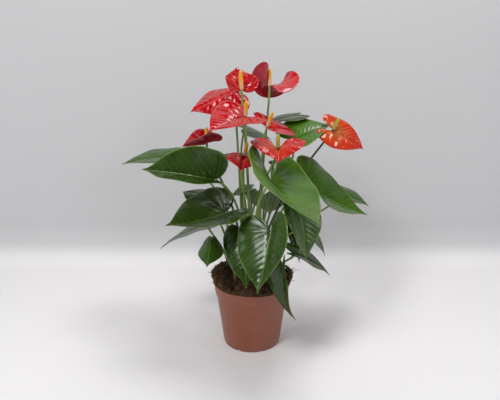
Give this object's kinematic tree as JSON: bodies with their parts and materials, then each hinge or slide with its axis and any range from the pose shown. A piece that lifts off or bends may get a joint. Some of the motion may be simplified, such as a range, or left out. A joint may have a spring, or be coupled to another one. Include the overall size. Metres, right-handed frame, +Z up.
{
  "type": "potted anthurium",
  "caption": "Flowering anthurium with glossy heart-shaped leaves and red spathes on long stalks, growing from peat in a tapered nursery pot.",
  "frame": {"origin": "centre of the pot's resting face", "axes": "+Z up along the pot's axis, -Y towards the open side of the plant that most flowers face"},
  "size_m": [0.5472, 0.4392, 0.6045],
  "materials": {
    "pot_brown": "satin",
    "peat": "matte",
    "leaf_green": "satin",
    "stalk_green": "satin",
    "spathe_red": "gloss"
  },
  "bodies": {
    "root": {"pot": "pot_brown", "soil": "peat", "leaf_01": "leaf_green", "leaf_02": "leaf_green", "leaf_03": "leaf_green", "leaf_04": "leaf_green", "leaf_05": "leaf_green", "leaf_06": "leaf_green", "leaf_07": "leaf_green", "leaf_08": "leaf_green", "leaf_09": "leaf_green", "leaf_10": "leaf_green", "leaf_11": "leaf_green", "leaf_12": "leaf_green", "leaf_13": "leaf_green", "leaf_14": "leaf_green", "leaf_15": "leaf_green", "leaf_16": "leaf_green", "leaf_17": "leaf_green", "leaf_18": "leaf_green", "leaf_19": "leaf_green", "leaf_20": "leaf_green", "leaf_stalk_01": "stalk_green", "leaf_stalk_02": "stalk_green", "leaf_stalk_03": "stalk_green", "leaf_stalk_04": "stalk_green", "leaf_stalk_05": "stalk_green", "leaf_stalk_06": "stalk_green", "leaf_stalk_07": "stalk_green", "leaf_stalk_08": "stalk_green", "leaf_stalk_09": "stalk_green", "leaf_stalk_10": "stalk_green", "leaf_stalk_11": "stalk_green", "leaf_stalk_12": "stalk_green", "leaf_stalk_13": "stalk_green", "leaf_stalk_14": "stalk_green", "leaf_stalk_15": "stalk_green", "leaf_stalk_16": "stalk_green", "leaf_stalk_17": "stalk_green", "leaf_stalk_18": "stalk_green", "leaf_stalk_19": "stalk_green", "leaf_stalk_20": "stalk_green", "spathe_1": "spathe_red", "spathe_2": "spathe_red", "spathe_3": "spathe_red", "spathe_4": "spathe_red", "spathe_5": "spathe_red", "spathe_6": "spathe_red", "spathe_7": "spathe_red", "spathe_8": "spathe_red", "spathe_9": "spathe_red", "flower_stalk_1": "stalk_green", "flower_stalk_2": "stalk_green", "flower_stalk_3": "stalk_green", "flower_stalk_4": "stalk_green", "flower_stalk_5": "stalk_green", "flower_stalk_6": "stalk_green", "flower_stalk_7": "stalk_green", "flower_stalk_8": "stalk_green", "flower_stalk_9": "stalk_green"}
  },
  "joints": []
}
